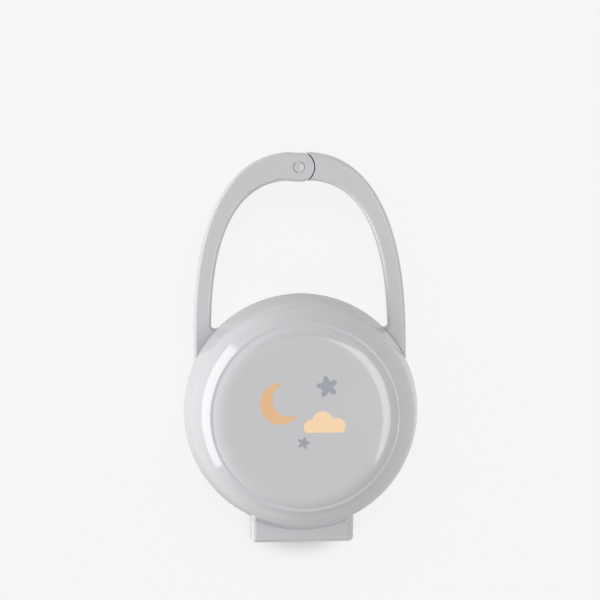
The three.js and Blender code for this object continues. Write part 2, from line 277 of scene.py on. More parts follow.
def add_round(points, radius, start, end):
    """Adds an arc at the last point, between two tilts of the surface."""
    u, v = points[-1]
    u -= radius * math.sin(math.radians(start))
    v -= radius * math.cos(math.radians(start))
    points += arc(u, v, radius, 90 - start, 90 - end, ROUND_STEPS)[1:]


def rise(radius, start, end):
    """How far such an arc climbs."""
    return radius * (math.cos(math.radians(end)) - math.cos(math.radians(start)))


def outside_profile():
    """(radius, distance from the parting plane) of the outside, from the rim to the axis."""
    tight, wide = shoulder()
    points = arc(case_radius - rim_round, wall_low, rim_round, -90, 0, SMALL_ROUND_STEPS)
    wall_high = tight[1] + tight[2] * math.sin(math.radians(wall_lean))
    for step in range(1, WALL_STEPS):
        distance = wall_low + (wall_high - wall_low) * step / WALL_STEPS
        points.append((wall_radius(distance), distance))
    points += arc(*tight, SHOULDER_STEPS) + arc(*wide, SHOULDER_STEPS)[1:]
    add_round(points, ring_corner, ring_tilt, bead_tilt)
    add_round(points, bead_radius, bead_tilt, land_tilt)
    u, v = points[-1]
    points.append((u - land_width, v + land_width * math.tan(math.radians(land_tilt))))
    climb = half_depth - points[-1][1]
    climb -= rise(bend_radius, bend_tilt, crown_tilt) + rise(crown_radius, crown_tilt, 0)
    add_round(points, climb / rise(1, edge_tilt, bend_tilt), edge_tilt, bend_tilt)
    add_round(points, bend_radius, bend_tilt, crown_tilt)
    add_round(points, crown_radius, crown_tilt, 0)
    return points + [(0, half_depth)]


def inside_profile():
    """(radius, distance) of the hollow, from the wall to the axis."""
    (u, v, tight, lean, middle), (wide_u, wide_v, wide, *_) = shoulder()
    roof = half_depth - ring_drop - wall
    end = math.degrees(math.asin((roof - wide_v) / (wide - wall)))
    points = arc(u, v, tight - wall, lean, middle, SHOULDER_STEPS)
    points += arc(wide_u, wide_v, wide - wall, middle, end, SHOULDER_STEPS)[1:]
    ceiling = half_depth - wall
    return points + [(cavity_flat, roof), (cavity_flat - cavity_step, ceiling), (0, ceiling)]


def above(profile):
    """The profile as the lid's, in front of the parting plane."""
    return [(radius, parting + distance) for radius, distance in profile]


def below(profile):
    """The profile as the base's, behind the parting plane."""
    return [(radius, parting - distance) for radius, distance in profile]


_, wall_end, tight_radius, *_ = shoulder()[0]
print("shoulder radii", round(tight_radius, 2), wide_shoulder, "from", round(wall_end, 2), "up")
print("section points:", len(outside_profile()), "outside,", len(inside_profile()), "inside")

# %% [markdown]
# Hinge block. Below the case sits one smooth block, and the real one is shared: the base's two
# ears stand either side of the lid's knuckle. Each is cut from the same rounded block, so that
# the three faces line up as they do when the case is closed. The edges at the two seams are only
# just broken, because a wider break there would show as a dark groove.

# %% The rounded block that ears and knuckle are cut from
hinge_half_width = 15.9
hinge_half_height = 2.6
hinge_edge_round = 1.2
hinge_end_round = 2.3
hinge_corner_round = 1.8
ear_thickness = 1.95
hinge_side_fit = 0.02
knuckle_break = 0.05
relief_radius = 0.5
relief_shift = 0.15
relief_rise = 0.2
ear_break = 0.1
hinge_fit = 0.3
pin_radius = 1
pin_fit = 0.2
ear_inner = hinge_half_width - ear_thickness
ear_spans = ((-hinge_half_width, -ear_inner), (ear_inner, hinge_half_width))
ear_reach = -hinge_y - math.sqrt(case_radius**2 - ear_inner**2) - hinge_fit
cheek_fit = 0.08
block_top = hinge_y / 2


def rounded_ends():
    """A bar along y whose section is a rectangle with round ends, as wide as the block."""
    flat, side = hinge_half_width - hinge_end_round, hinge_half_height - hinge_end_round
    section = []
    for x, z, start in ((flat, side, 0), (-flat, side, 90), (-flat, -side, 180), (flat, -side, 270)):
        section += arc(x, parting + z, hinge_end_round, start, start + 90, ROUND_STEPS)
    return place(plate(section, 0, -hinge_y + hinge_half_height + overrun), PLATE_ALONG_Y)


def hinge_block():
    """The whole block, with round corners below and round edges in front and behind."""
    left, right, bottom = -hinge_half_width, hinge_half_width, hinge_y - hinge_half_height
    corner = hinge_corner_round
    outline = [(left, block_top)]
    outline += arc(left + corner, bottom + corner, corner, 180, 270, ROUND_STEPS)
    outline += arc(right - corner, bottom + corner, corner, 270, 360, ROUND_STEPS)
    outline.append((right, block_top))
    low, high = parting - hinge_half_height, parting + hinge_half_height
    return combine(plate(outline, low, high, hinge_edge_round), "INTERSECT", rounded_ends())


def across_case(section, left, right, edge_break):
    """Extrudes a (y, z) section along x and breaks the edges of its two ends."""
    return place(plate(section, left, right, edge_break), PLATE_ALONG_X)


print("block", 2 * hinge_half_width, "mm wide, the ears reach", round(ear_reach, 2), "from the axis")

# %% [markdown]
# Lid. The real lid is one moulding: the turned shell, a thumb lip on the rim, the knuckle, and
# two cheeks that close the corners over the ears. The lip is barely proud of the case, so it
# isn't a separate solid: the wall's vertices are pushed out towards a second circle that lies off
# centre, most at the rim and less further up.

# %% The lid
lip_reach = 0.12
lip_radius_share = 0.72
lip_radius = case_radius * lip_radius_share
lip_fade = 8.5


def thumb_lip(bm):
    """Swells the wall towards the lip's circle, where that lies outside the case."""
    centre_y = case_radius + lip_reach - lip_radius
    for vert in bm.verts:
        radius = math.hypot(vert.co.x, vert.co.y)
        height = vert.co.z - parting
        if radius < case_radius - wall or height > lip_fade or vert.co.y < 0:
            continue
        along = vert.co.y / radius
        reach = centre_y * along + math.sqrt(lip_radius**2 - (centre_y**2) * (1 - along**2))
        fade = (1 - (height / lip_fade) ** 2) ** 2
        vert.co.xy *= 1 + max(reach / case_radius - 1, 0) * fade


def lid_knuckle():
    """Flat in front with a hollow along the wall, and round behind to turn in the base."""
    half = ear_inner - hinge_side_fit
    outer = hinge_y - hinge_half_height
    front = parting + hinge_half_height
    section = [(block_top, parting + rim_gap / 2), (block_top, front), (outer, front)]
    section += arc(hinge_y, parting, hinge_half_height, 180, 360, BAR_STEPS // 2)
    made = combine(across_case(section, -half, half, knuckle_break), "INTERSECT", hinge_block())
    groove_u, groove_v = case_radius + relief_shift, front + relief_rise
    groove = turned(arc(groove_u, groove_v, relief_radius, 0, 360, BAR_STEPS // 2))
    return combine(made, "DIFFERENCE", groove)


def lid_cheeks():
    """Fills the corners over the ears, hollow round the hinge so that the ears pass."""
    radius = ear_reach + cheek_fit
    back, front = parting + rim_gap / 2, parting + hinge_half_height
    start, end = (math.degrees(math.asin((z - parting) / radius)) for z in (back, front))
    section = [(block_top, back), (block_top, front)]
    section += arc(hinge_y, parting, radius, end, start, ROUND_STEPS)
    cheeks = [across_case(section, *ends, knuckle_break) for ends in ear_spans]
    return [combine(cheek, "INTERSECT", hinge_block()) for cheek in cheeks]


def hinge_bore():
    """The hole for the wire, through ears and knuckle."""
    radius = pin_radius + pin_fit
    end = hinge_half_width + overrun
    return cross_bar([(0, -end), (radius, -end), (radius, end), (0, end)])


def lid():
    """The front half: a turned shell with lip, knuckle and cheeks, hollowed and bored."""
    wall_inside = case_radius - wall
    step = collar_height + rim_gap
    outside = turned(above([(0, rim_gap / 2)] + outside_profile()), shape=thumb_lip)
    hollow = [(0, -overrun), (wall_inside, -overrun), (wall_inside, step)] + inside_profile()
    shell = combine(outside, "UNION", lid_knuckle(), *lid_cheeks())
    return combine(shell, "DIFFERENCE", turned(above(hollow)), hinge_bore())


# %% [markdown]
# Handle loop. The two arms are halves of one tall arch, wider at the top than at the feet. Its
# outline is two superellipses, which are squarer than ellipses, as the photographed loop is. It
# is extruded and its edges get a wide bevel, which turns the light slowly along both arms.

# %% The loop's outline
handle_base = 20
handle_rise = 59.5
arm_foot_width = 5.3
arm_top_width = 8.7
outer_power = 2.45
inner_power = 2.6
arm_round = 1.1
foot_fillet = 1.2
foot_depth = 9
waist_depth = 0.3
waist_half = 3.6
belly_depth = 0.5
belly_half = 5
inner_half = outer_half - arm_foot_width
inner_rise = handle_rise - arm_top_width
handle_top = handle_base + handle_rise


def superellipse(half, rise, power):
    """Right half of an arch, from its top down to the handle's base line."""
    points = []
    for i in range(ARCH_STEPS + 1):
        angle = math.pi / 2 * (1 - (i / ARCH_STEPS) ** ARCH_CROWDING)
        x = half * max(math.cos(angle), 0) ** (2 / power)
        y = handle_base + rise * max(math.sin(angle), 0) ** (2 / power)
        points.append((x if i else 0, y))
    return points


def dip(x, depth, half):
    """How far an edge dips over or under the knuckle, fading to nothing at both sides."""
    share = min(abs(x) / half, 1)
    return depth * (1 - share**2) ** 2


def loop_outline():
    """The whole loop with its two feet, which end inside the case."""
    outer = superellipse(outer_half, handle_rise, outer_power)
    outer = [(x, y - dip(x, waist_depth, waist_half)) for x, y in outer]
    fillet_x = inner_half - foot_fillet
    fillet_y = math.sqrt((case_radius + foot_fillet) ** 2 - fillet_x**2)
    meet = math.atan2(fillet_y, fillet_x)
    inner = [p for p in superellipse(inner_half, inner_rise, inner_power) if p[1] > fillet_y]
    inner = [(x, y - dip(x, belly_depth, belly_half)) for x, y in inner]
    inner += arc(fillet_x, fillet_y, foot_fillet, 0, math.degrees(meet) - 180, ROUND_STEPS)
    run_in = case_radius - foot_depth
    foot_end = handle_base - foot_depth
    inner += [(run_in * math.cos(meet), run_in * math.sin(meet)), (inner_half, foot_end)]
    right_half = outer + [(outer_half, foot_end)] + inner[::-1]
    left_half = [(-x, y) for x, y in right_half[::-1]]
    return right_half + left_half[1:-1]


def handle_loop():
    """The loop as one solid, which both arms are cut from."""
    return plate(loop_outline(), arm_bottom, arm_top, arm_round)


print("loop outline points:", len(loop_outline()))

# %% [markdown]
# Rule joint. At the top the fixed arm ends in a fork with a round nose, and the gate in a hollow
# seat round that nose, with a tongue that enters the fork. The nose is the loop inside one
# cylinder, and the seat is the loop outside a slightly larger one, so the gap is even. Both
# cylinders bend at their ends, one in and one out, which breaks the edges along the gap.

# %% Sizes of the rule joint and of the gate's catch
knuckle_radius = 4.75
seat_gap = 0.3
seat_radius = knuckle_radius + seat_gap
seat_tip = 2.5
joint_break = 0.3
tongue_radius = 4
tongue_thickness = 2.1
tongue_low = arm_middle - tongue_thickness / 2
tongue_high = arm_middle + tongue_thickness / 2
side_fit = 0.3
pivot_radius = 1.7
pivot_fit = 0.12
foot_fit = 0.12
catch_reach = 1.7
catch_width = 2.4
catch_fit = 0.3
catch_pad_width = 6
catch_pad_depth = 1.5
catch_pad_sink = 0.5


def slab(left, right):
    """Everything between two places across the case, as tall as the loop."""
    return block((left, 0, 0), (right, handle_top + overrun, parting))


def pivot_bore():
    """The hole for the rivet, through arm and tongue."""
    return upright_bar(pivot_radius + pivot_fit, pivot_y, 0, parting)


def fork_nose():
    """The round end of the fixed arm, with its edges broken."""
    inner = knuckle_radius - joint_break
    foot = arc(inner, arm_bottom + joint_break, joint_break, -90, 0, SMALL_ROUND_STEPS)
    face = arc(inner, arm_top - joint_break, joint_break, 0, 90, SMALL_ROUND_STEPS)
    cylinder = turned([(0, arm_bottom)] + foot + face + [(0, arm_top)], BAR_STEPS, (0, pivot_y))
    return combine(handle_loop(), "INTERSECT", cylinder)


def fixed_arm():
    """The left arm with its nose, slotted for the tongue and bored for the rivet."""
    arm = combine(handle_loop(), "INTERSECT", slab(-outer_half - overrun, 0))
    slot = upright_bar(seat_radius, pivot_y, tongue_low - side_fit, tongue_high + side_fit)
    return combine(combine(arm, "UNION", fork_nose()), "DIFFERENCE", slot, pivot_bore())


def on_catch(made):
    """Puts a solid at the gate's foot, turned to the path that the foot swings along."""
    foot_x = (outer_half + inner_half) / 2
    foot_y = math.sqrt((case_radius + foot_fit) ** 2 - foot_x**2)
    heading = Matrix.Rotation(math.atan2(foot_x, pivot_y - foot_y), 4, "Z")
    return place(made, Matrix.Translation((foot_x, foot_y, 0)) @ heading)


print("seat radius", seat_radius, "mm, arms", round(arm_top - arm_bottom, 2), "mm thick")


# %% [markdown]
# Base. The back half is one moulding too: shell, fixed arm, hinge ears, the inner collar that
# the lid snaps over, and a pocket for the gate's catch. The solids are joined first and then
# hollowed, in the order in which a mould core would take the plastic away.

# %% The base
def hinge_ears():
    """The two ends of the block, hollowed round the hinge so that the lid's wall can pass."""
    web_top = parting - rim_gap / 2
    back, front = parting - hinge_half_height, parting + hinge_half_height
    start, end = (math.degrees(math.asin((z - parting) / ear_reach)) for z in (web_top, front))
    outer = hinge_y - hinge_half_height
    section = [(outer, back), (block_top, back), (block_top, web_top)]
    section += arc(hinge_y, parting, ear_reach, start, end, ROUND_STEPS) + [(outer, front)]
    ears = [across_case(section, *ends, ear_break) for ends in ear_spans]
    return [combine(ear, "INTERSECT", hinge_block()) for ear in ears]


def knuckle_sweep():
    """Room in the base for the knuckle's corner as the lid turns over."""
    centre = hinge_half_height - hinge_edge_round
    radius = math.hypot(centre, centre) + hinge_edge_round + hinge_fit
    return cross_bar([(0, -ear_inner), (radius, -ear_inner), (radius, ear_inner), (0, ear_inner)])


def base():
    """The back half: shell, fixed arm and ears, hollowed, with the pocket and the bores."""
    collar_outer = case_radius - wall - collar_fit
    collar_inner = collar_outer - collar_wall
    collar_edge = (collar_outer, -collar_height + rim_round)
    outside = [(0, -collar_height), (collar_outer - rim_round, -collar_height), collar_edge]
    outside += [(collar_outer, rim_gap / 2)] + outside_profile()
    hollow = [(0, -collar_height - overrun), (collar_inner, -collar_height - overrun)]
    land_end = land_depth + land_chamfer
    hollow += [(collar_inner, land_depth), (wall_radius(land_end) - wall, land_end)]
    hollow += inside_profile()
    body = combine(turned(below(outside)), "UNION", fixed_arm(), *hinge_ears())
    body = combine(body, "DIFFERENCE", turned(below(hollow)))
    half, deep = catch_pad_width / 2, -foot_fit - wall
    pad_low, pad_high = deep - catch_pad_depth, deep + catch_pad_sink
    pad = on_catch(block((pad_low, -half, arm_bottom), (pad_high, half, arm_top)))
    half, reach = catch_width / 2 + catch_fit, -catch_reach - catch_fit
    low, high = tongue_low - catch_fit, tongue_high + catch_fit
    pocket = on_catch(block((reach, -half, low), (overrun, half, high)))
    body = combine(body, "UNION", pad)
    return combine(body, "DIFFERENCE", pocket, knuckle_sweep(), hinge_bore())


# %% [markdown]
# Gate. The right arm is the loop's other half, with the seat and room for the case cut away,
# and two thin tongues added: the round one turns in the fork, the square one snaps in the case.

# %% The gate arm
def seat_cutter():
    """The cylinder that hollows the seat, flared at the faces to break the edge there."""
    wide = seat_radius + joint_break
    foot = arc(wide, arm_bottom + joint_break, joint_break, 270, 180, SMALL_ROUND_STEPS)
    face = arc(wide, arm_top - joint_break, joint_break, 180, 90, SMALL_ROUND_STEPS)
    profile = [(0, arm_bottom - overrun), (wide, arm_bottom - overrun)] + foot + face
    profile += [(wide, arm_top + overrun), (0, arm_top + overrun)]
    return turned(profile, BAR_STEPS, (0, pivot_y))


def gate():
    """The right arm with seat, tongue and catch, cut clear of the case's leaning wall."""
    back_radius, rim_radius = wall_radius(parting) + foot_fit, wall_radius(0) + foot_fit
    case_room = turned([(0, 0), (back_radius, 0), (rim_radius, parting), (0, parting)])
    arm = combine(handle_loop(), "INTERSECT", slab(seat_tip, outer_half + overrun))
    arm = combine(arm, "DIFFERENCE", seat_cutter(), case_room)
    eye = upright_bar(tongue_radius, pivot_y, tongue_low, tongue_high)
    neck_low = (0, pivot_y - tongue_radius, tongue_low)
    neck = block(neck_low, (seat_radius + overrun, pivot_y + tongue_radius, tongue_high))
    tongue = combine(combine(eye, "UNION", neck), "INTERSECT", handle_loop())
    half = catch_width / 2
    catch = on_catch(block((-catch_reach, -half, tongue_low), (catch_reach, half, tongue_high)))
    arm = combine(arm, "UNION", tongue, catch)
    return combine(arm, "DIFFERENCE", pivot_bore())


# %% [markdown]
# Pins. The pivot is a plastic rivet whose head shows flush in the arm, with its edge broken, and
# the hinge turns on a short steel wire that ends a little inside the ears. Both are turned.

# %% The two pins
pivot_recess = 0.05
hinge_pin_recess = 0.6
pin_break = 0.25


def pin_profile(radius, low, high):
    """A bar with rounded ends, as (radius, place along it) points."""
    inner = radius - pin_break
    foot = arc(inner, low + pin_break, pin_break, -90, 0, SMALL_ROUND_STEPS)
    head = arc(inner, high - pin_break, pin_break, 0, 90, SMALL_ROUND_STEPS)
    return [(0, low)] + foot + head + [(0, high)]


def pivot_rivet():
    """The rivet, a hair short of both faces of the arm."""
    profile = pin_profile(pivot_radius, arm_bottom + pivot_recess, arm_top - pivot_recess)
    return turned(profile, BAR_STEPS, (0, pivot_y))


def hinge_wire():
    """The wire, which ends inside both ears."""
    end = hinge_half_width - hinge_pin_recess
    return cross_bar(pin_profile(pin_radius, -end, end))


# %% [markdown]
# Picture. The lid carries a small pad-printed picture: a moon, a cloud and two stars. It could be
# painted in the plastic's shader, but ink lies on top of the plastic, so each motif is a film a
# few hundredths of a millimetre thick, cut out like any other flat shape.

# %% The printed motifs
ink_depth = 0.02
ink_low, ink_high = 2 * half_depth - ink_depth, 2 * half_depth + ink_depth
moon_place = (-7.4, 4.2)
moon_radius = 6.2
moon_bite_radius = 5.1
moon_bite_shift = 2.9
moon_turn = 25
star_place = (6.6, 9.2)
star_radius = 3.3
star_turn = 12
small_star_place = (-0.6, -7.6)
small_star_radius = 1.9
small_star_turn = -15
star_points = 5
star_swell = 0.3
cloud_place = (5.6, -4.6)
cloud_puffs = [(-3.8, 1.7, 2.3), (-0.4, 3.1, 3.3), (3.9, 1.9, 2.5)]


def on_lid(film, centre, turn=0):
    """Puts a film in its place on the lid, turned by some degrees."""
    move = Matrix.Translation((*centre, 0))
    return place(film, move @ Matrix.Rotation(math.radians(turn), 4, "Z"))


def ink_film(outline, centre, turn):
    """A thin film on the lid's flat top, half sunk in it, from an outline about its own middle."""
    return on_lid(plate(outline, ink_low, ink_high), centre, turn)


def moon_outline():
    """A disc with a smaller disc bitten out of it."""
    reach, bite, shift = moon_radius, moon_bite_radius, moon_bite_shift
    meet_x = (reach**2 - bite**2 + shift**2) / (2 * shift)
    meet_y = math.sqrt(reach**2 - meet_x**2)
    outer = math.degrees(math.atan2(meet_y, meet_x))
    inner = math.degrees(math.atan2(meet_y, meet_x - shift))
    back = arc(0, 0, reach, outer, 360 - outer, BAR_STEPS)
    return back + arc(shift, 0, bite, 360 - inner, inner, BAR_STEPS)[1:-1]


def star_outline(radius):
    """A star with soft points: a circle whose radius swells once for every point."""
    outline = []
    for i in range(BAR_STEPS):
        angle = math.tau * i / BAR_STEPS
        reach = radius * (1 + star_swell * math.cos(star_points * angle)) / (1 + star_swell)
        outline.append((-reach * math.sin(angle), reach * math.cos(angle)))
    return outline


def cloud():
    """Three puffs, given as (x, y, radius), joined over a flat foot."""
    discs = []
    for x, y, radius in cloud_puffs:
        profile = [(0, ink_low), (radius, ink_low), (radius, ink_high), (0, ink_high)]
        discs.append(turned(profile, BAR_STEPS, (x, y)))
    (left_x, foot, left_radius), (right_x, _, right_radius) = cloud_puffs[0], cloud_puffs[-1]
    discs.append(block((left_x, 0, ink_low), (right_x, foot, ink_high)))
    top = max(y + radius for _, y, radius in cloud_puffs) + overrun
    room_low = (left_x - left_radius, 0, ink_low - overrun)
    room = block(room_low, (right_x + right_radius, top, ink_high + overrun))
    film = combine(combine(discs[0], "UNION", *discs[1:]), "INTERSECT", room)
    return on_lid(film, cloud_place)


# %% [markdown]
# Finishing a piece. Booleans leave long flat faces beside narrow strips, and plain smooth
# shading would bend the light over the flats. So real corners are marked sharp, and a Weighted
# Normal modifier lets the large faces decide the normals. The sharp angle lies just under that of
# the corner at the plateau's foot, whose fine bright line is lost when the corner is smoothed.
# Then the mesh is brought to metres.

# %% Name, shading, scale and place in the frame
def finish_piece(made, name, body, slot, material, *nodes):
    """Names a solid, brings it to metres and puts it in the frame."""
    bm = bmesh.new()
    bm.from_mesh(made.data)
    bmesh.ops.remove_doubles(bm, verts=bm.verts, dist=SAME_PLACE)
    bmesh.ops.dissolve_degenerate(bm, edges=bm.edges, dist=SAME_PLACE)
    for edge in bm.edges:
        edge.smooth = edge.calc_face_angle(0) < SHARP_ANGLE
    for face in bm.faces:
        face.smooth = True
    bmesh.ops.scale(bm, verts=bm.verts, vec=(MM, MM, MM))
    bm.to_mesh(made.data)
    open_edges = sum(1 for edge in bm.edges if not edge.is_manifold)
    triangles = sum(len(face.verts) - 2 for face in bm.faces)
    bm.free()
    made.name = made.data.name = name
    made.data.materials.clear()
    made.data.materials.append(material)
    weighted = made.modifiers.new("flat faces lead", "WEIGHTED_NORMAL")
    weighted.keep_sharp = True
    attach(made, body)
    if nodes:
        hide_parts(*nodes)
    print(name, triangles, "triangles,", open_edges, "open edges")


# %% [markdown]
# Colours are written as the sRGB hex values a designer would note down, and one function turns
# them to the linear values that shaders use. Another adds a node with its settings and links, and
# three short ones make the steps that every material here takes: noise of a real size, two
# colours mixed by it, and one range of values mapped to another.

# %% Helpers for materials
def linear(hex_colour):
    """Linear RGBA of an sRGB hex colour, by the curve in the sRGB standard."""
    channels = [int(hex_colour[i : i + 2], 16) / 255 for i in (1, 3, 5)]
    toed = [c / 12.92 if c <= 0.04045 else ((c + 0.055) / 1.055) ** 2.4 for c in channels]
    return (*toed, 1)


def add_node(tree, kind, links=None, **settings):
    """Adds a node: settings name its properties, links its inputs by value or by socket."""
    node = tree.nodes.new(kind)
    for key, value in settings.items():
        setattr(node, key, value)
    for key, value in (links or {}).items():
        if isinstance(value, bpy.types.NodeSocket):
            tree.links.new(value, node.inputs[key])
        else:
            node.inputs[key].default_value = value
    return node


def new_material(name):
    """An empty node material and its tree."""
    material = bpy.data.materials.new(name)
    material.use_nodes = True
    material.node_tree.nodes.clear()
    return material, material.node_tree


def per_mm(size):
    """The texture scale at which one feature is this many millimetres wide."""
    return 1 / (size * MM)


def on_object(tree):
    """The place on the object, in metres."""
    return add_node(tree, "ShaderNodeTexCoord").outputs["Object"]


def noise(tree, place_on, size, detail):
    """Smooth noise from 0 to 1, whose features are this many millimetres wide."""
    links = {"Vector": place_on, "Scale": per_mm(size), "Detail": detail}
    return add_node(tree, "ShaderNodeTexNoise", links).outputs["Fac"]


def two_colours(tree, share, light, dark):
    """A light and a dark hex colour, mixed by a share."""
    links = {"Factor": share, "A": linear(dark), "B": linear(light)}
    return add_node(tree, "ShaderNodeMix", links, data_type="RGBA").outputs["Result"]


def mapped(tree, value, from_low, from_high, to_low, to_high, easing="SMOOTHSTEP"):
    """Takes a value from one range to another and holds it at the ends."""
    links = {
        "Value": value, "From Min": from_low, "From Max": from_high,
        "To Min": to_low, "To Max": to_high,
    }
    node = add_node(tree, "ShaderNodeMapRange", links, interpolation_type=easing)
    return node.outputs["Result"]


# %% [markdown]
# Moulded polypropylene. The case is glossy injection-moulded plastic: clean reflections with
# slightly soft edges, an even colour that clouds a little where the melt met, and a faint
# waviness left by the mould's polish. All three come from noise at real sizes.

# %% Gloss moulded polypropylene
MELT_CLOUD = 22
POLISH_WAVE = 3
WAVE_HEIGHT = 0.02
WAVE_STRENGTH = 0.06
ROUGHNESS_SPREAD = 0.02
PLASTIC_IOR = 1.49
NOISE_DETAIL = 2.0


def moulded_plastic(name, light, dark, roughness):
    """Gloss plastic between two greys, with the given mean roughness."""
    material, tree = new_material(name)
    place_on = on_object(tree)
    melt = noise(tree, place_on, MELT_CLOUD, NOISE_DETAIL)
    polish = noise(tree, place_on, POLISH_WAVE, NOISE_DETAIL)
    low, high = roughness - ROUGHNESS_SPREAD, roughness + ROUGHNESS_SPREAD
    waves = add_node(
        tree, "ShaderNodeBump",
        {"Height": polish, "Strength": WAVE_STRENGTH, "Distance": WAVE_HEIGHT * MM},
    )
    shader = add_node(
        tree, "ShaderNodeBsdfPrincipled",
        {
            "Base Color": two_colours(tree, melt, light, dark),
            "Roughness": mapped(tree, polish, 0, 1, low, high, "LINEAR"),
            "Normal": waves.outputs["Normal"], "IOR": PLASTIC_IOR,
        },
    )
    add_node(tree, "ShaderNodeOutputMaterial", {"Surface": shader.outputs["BSDF"]})
    return material


case_plastic = moulded_plastic("gloss_moulded_polypropylene", "#c3c3c6", "#bfbfc2", 0.09)
rivet_plastic = moulded_plastic("moulded_rivet_polypropylene", "#c0c0c3", "#bdbdc0", 0.16)
print("plastics:", case_plastic.name, rivet_plastic.name)

# %% [markdown]
# Steel wire. The hinge pin is drawn wire: a metal with fine lines along its length. They could be
# an anisotropic gloss, but the wire is almost hidden, so a noise stretched along x is enough.

# %% Drawn steel wire
WIRE_LINE = 0.12
WIRE_STRETCH = (0.05, 1, 1)
WIRE_ROUGHNESS = (0.22, 0.38)


def drawn_steel():
    """Steel whose roughness varies in lines, drawn out along x."""
    material, tree = new_material("drawn_steel_wire")
    links = {"Vector": on_object(tree), "Scale": WIRE_STRETCH}
    along = add_node(tree, "ShaderNodeMapping", links).outputs["Vector"]
    lines = noise(tree, along, WIRE_LINE, NOISE_DETAIL)
    gloss = mapped(tree, lines, 0, 1, *WIRE_ROUGHNESS, "LINEAR")
    shader = add_node(
        tree, "ShaderNodeBsdfPrincipled",
        {"Base Color": linear("#b9babd"), "Metallic": 1.0, "Roughness": gloss},
    )
    add_node(tree, "ShaderNodeOutputMaterial", {"Surface": shader.outputs["BSDF"]})
    return material


steel = drawn_steel()
print("metal:", steel.name)

# %% [markdown]
# Printing ink. Pad-printed ink dries satin, a little rougher than the moulded gloss around it,
# and its film is slightly uneven, which a fine noise in the colour shows.

# %% Satin printing ink
INK_GRAIN = 0.6
INK_DETAIL = 3.0
INK_ROUGHNESS = 0.34


def printing_ink(name, light, dark):
    """Satin ink with a fine grain between two shades of its colour."""
    material, tree = new_material(name)
    grain = noise(tree, on_object(tree), INK_GRAIN, INK_DETAIL)
    colour = two_colours(tree, grain, light, dark)
    shader = add_node(
        tree, "ShaderNodeBsdfPrincipled", {"Base Color": colour, "Roughness": INK_ROUGHNESS}
    )
    add_node(tree, "ShaderNodeOutputMaterial", {"Surface": shader.outputs["BSDF"]})
    return material


orange_ink = printing_ink("satin_ink_orange", "#e0b487", "#dbae80")
peach_ink = printing_ink("satin_ink_peach", "#f4d3a9", "#efcda2")
slate_ink = printing_ink("satin_ink_slate", "#979da5", "#91979f")

# %% [markdown]
# Pieces. The case comes apart into five: the back shell with its fixed arm, the lid, the gate and
# two pins. Each dresses the node of the same piece in the frame and rides on its body, so the
# joints turn the fine surface and the working solid together.

# %% The five pieces, made and put in the frame
finish_piece(base(), "back_shell", "base", "shell", case_plastic, "base_shell")
finish_piece(lid(), "front_lid", "lid", "lid", case_plastic, "lid_shell")
finish_piece(gate(), "swing_gate", "gate", "gate", case_plastic, "gate_arm")
finish_piece(pivot_rivet(), "pivot_rivet", "base", "pin", rivet_plastic, "pivot_pin")
finish_piece(hinge_wire(), "hinge_wire", "base", "steel", steel, "hinge_pin")

# %% [markdown]
# Motifs. The ink is made last, because it lies on the finished lid. The films have no node of
# their own in the frame: they ride on the lid's body and open with it.

# %% The four motifs, printed on the lid
moon = ink_film(moon_outline(), moon_place, moon_turn)
finish_piece(moon, "print_moon", "lid", "lid", orange_ink)
finish_piece(cloud(), "print_cloud", "lid", "lid", peach_ink)
star = ink_film(star_outline(star_radius), star_place, star_turn)
finish_piece(star, "print_star", "lid", "lid", slate_ink)
small_star = ink_film(star_outline(small_star_radius), small_star_place, small_star_turn)
finish_piece(small_star, "print_small_star", "lid", "lid", slate_ink)

# %% [markdown]
# Floor. The case lies on a plain pale sheet. For the camera and for reflections most of its
# brightness is its own, so that it reads as a white studio sweep. Under the case and round the
# hinge block that share is smaller, so the sheet keeps the soft shadow there. What the gloss
# mirrors of it carries painted shade: its glow is dimmed most in a band along the case's length,
# and less out to both sides and past the disc's top. The sheet is so large that the camera never
# sees its edge.

# %% The floor
FLOOR_HALF = 6000
shade_x, shade_y = 1, -36.5
shade_half_width, shade_half_height = 20, 14.5
shade_core_share = 0.4
foot_near, foot_far = 32, 35.5
# Where and how much painted shade dims what the gloss mirrors of the sheet.
mirror_near, mirror_far = 15, 60
mirror_top, mirror_clear = 48, 62
SHADED_GLOW, CLEAR_GLOW, MIRRORED_GLOW = 0.25, 0.93, 0.8
PAINTED_MIRROR_NEAR, PAINTED_MIRROR_FAR = 0.5, 0.85
background = linear("#f6f6f6")


def maths(tree, operation, *values):
    """The result of a maths node, from numbers or sockets."""
    node = add_node(tree, "ShaderNodeMath", dict(enumerate(values)), operation=operation)
    return node.outputs[0]


def length_of(tree, vector):
    """The length of a vector."""
    node = add_node(tree, "ShaderNodeVectorMath", {0: vector}, operation="LENGTH")
    return node.outputs["Value"]


def seen_share(tree, place_on):
    """How much of the sheet's brightness is its own where the camera sees it."""
    per_x, per_y = per_mm(shade_half_width), per_mm(shade_half_height)
    shift = (-shade_x * MM * per_x, -shade_y * MM * per_y, 0)
    in_shade = add_node(
        tree, "ShaderNodeVectorMath", {0: place_on, 1: (per_x, per_y, 0), 2: shift},
        operation="MULTIPLY_ADD",
    )
    from_block = length_of(tree, in_shade.outputs["Vector"])
    from_middle = length_of(tree, place_on)
    at_block = mapped(tree, from_block, shade_core_share, 1, SHADED_GLOW, CLEAR_GLOW)
    at_foot = mapped(tree, from_middle, foot_near * MM, foot_far * MM, SHADED_GLOW, CLEAR_GLOW)
    return maths(tree, "MINIMUM", at_block, at_foot)


